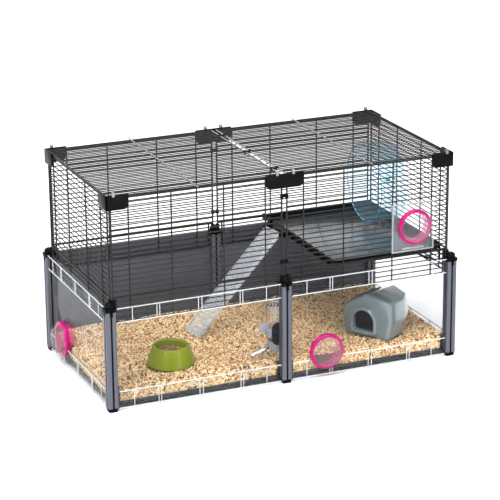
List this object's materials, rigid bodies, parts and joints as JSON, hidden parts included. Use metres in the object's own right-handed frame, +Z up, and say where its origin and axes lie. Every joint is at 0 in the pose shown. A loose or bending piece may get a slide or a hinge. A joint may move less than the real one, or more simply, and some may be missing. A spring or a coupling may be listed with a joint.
{
  "type": "hamster cage",
  "caption": "Modular hamster cage: clear lower panels between posts, wire upper grilles and a split roof, with a raised platform, ramp, wheel, access ports, hide, bowl and drip bottle.",
  "frame": {"origin": "on the floor, at the middle of the bounding box's footprint", "axes": "+X along the length towards the platform's end, +Y from the front to the back, +Z up"},
  "size_m": [0.743, 0.3906, 0.425],
  "materials": {
    "post_aluminium": "satin grey anodised",
    "black_plastic": "satin moulded",
    "slate_plastic": "satin moulded",
    "clear_panel": "clear, glossy",
    "clear_cap": "clear, glossy",
    "clear_bottle": "clear, glossy",
    "dark_tray": "satin moulded",
    "wood_bedding": "loose pale wood granules",
    "black_wire": "smooth black coating",
    "ramp_plastic": "translucent, glossy",
    "wheel_plastic": "clear light blue, glossy",
    "pink_plastic": "glossy",
    "lime_plastic": "glossy",
    "sage_plastic": "glossy",
    "holder_plastic": "translucent grey, glossy",
    "spout_steel": "polished"
  },
  "bodies": {
    "frame": {"post_front_left": "post_aluminium", "post_front_middle": "post_aluminium", "post_front_right": "post_aluminium", "post_back_left": "post_aluminium", "post_back_middle": "post_aluminium", "post_back_right": "post_aluminium", "foot_front_left": "black_plastic", "foot_front_middle": "black_plastic", "foot_front_right": "black_plastic", "foot_back_left": "black_plastic", "foot_back_middle": "black_plastic", "foot_back_right": "black_plastic", "post_cap_front_left": "black_plastic", "post_cap_front_middle": "black_plastic", "post_cap_front_right": "black_plastic", "post_cap_back_left": "black_plastic", "post_cap_back_middle": "black_plastic", "post_cap_back_right": "black_plastic", "panel_front_left": "clear_panel", "panel_front_right": "clear_panel", "panel_back_left": "slate_plastic", "panel_back_right": "slate_plastic", "panel_end_left": "clear_panel", "panel_end_right": "clear_panel", "base_tray": "dark_tray", "bedding": "wood_bedding", "grille_front_left": "black_wire", "grille_front_right": "black_wire", "grille_back_left": "black_wire", "grille_back_right": "black_wire", "grille_end_left": "black_wire", "grille_end_right": "black_wire", "connector_front_left": "black_plastic", "connector_front_middle": "black_plastic", "connector_front_right": "black_plastic", "connector_back_left": "black_plastic", "connector_back_middle": "black_plastic", "connector_back_right": "black_plastic", "roof_clip_front": "black_plastic", "roof_clip_middle": "black_plastic", "roof_clip_back": "black_plastic", "platform": "dark_tray", "wheel_stand": "clear_panel", "port_ring_front": "pink_plastic", "port_ring_end": "pink_plastic", "port_ring_grille": "pink_plastic", "port_plate": "clear_panel", "bottle_holder": "holder_plastic"},
    "roof_left": {"roof_left": "black_wire"},
    "roof_right": {"roof_right": "black_wire"},
    "wheel": {"wheel": "wheel_plastic"},
    "ramp": {"ramp": "ramp_plastic"},
    "cap_front": {"port_cap_front": "clear_cap"},
    "cap_end": {"port_cap_end": "clear_cap"},
    "cap_grille": {"port_cap_grille": "clear_cap"},
    "bottle": {"bottle": "clear_bottle", "bottle_cap": "holder_plastic", "bottle_spout": "spout_steel"},
    "bowl": {"bowl": "lime_plastic"},
    "house": {"house": "sage_plastic"}
  },
  "joints": [
    {"name": "roof_left_hinge", "type": "hinge", "parent": "frame", "child": "roof_left", "pos_m": [0.0025, 0.0075, 0.4132], "axis": [0, 1, 0], "range_deg": [0, 85]},
    {"name": "roof_right_hinge", "type": "hinge", "parent": "frame", "child": "roof_right", "pos_m": [0.0125, 0.0075, 0.4132], "axis": [0, -1, 0], "range_deg": [0, 85]},
    {"name": "wheel_spin", "type": "hinge", "parent": "frame", "child": "wheel", "pos_m": [0.3005, 0.0345, 0.31], "axis": [1, 0, 0], "continuous": true},
    {"name": "ramp_hinge", "type": "hinge", "parent": "frame", "child": "ramp", "pos_m": [0.0865, 0.0665, 0.224], "axis": [-0.1564, 0.9877, 0], "range_deg": [0, 40]},
    {"name": "cap_front_pull", "type": "slide", "parent": "frame", "child": "cap_front", "axis": [0, -1, 0], "range_m": [0, 0.04]},
    {"name": "cap_end_pull", "type": "slide", "parent": "frame", "child": "cap_end", "axis": [-1, 0, 0], "range_m": [0, 0.04]},
    {"name": "cap_grille_pull", "type": "slide", "parent": "frame", "child": "cap_grille", "axis": [0, -1, 0], "range_m": [0, 0.04]},
    {"name": "bottle_pull", "type": "slide", "parent": "frame", "child": "bottle", "axis": [0, 1, 0], "range_m": [0, 0.07]},
    {"name": "bowl_lift", "type": "slide", "parent": "frame", "child": "bowl", "axis": [0, 0, 1], "range_m": [0, 0.15]},
    {"name": "house_lift", "type": "slide", "parent": "frame", "child": "house", "axis": [0, 0, 1], "range_m": [0, 0.05]}
  ]
}
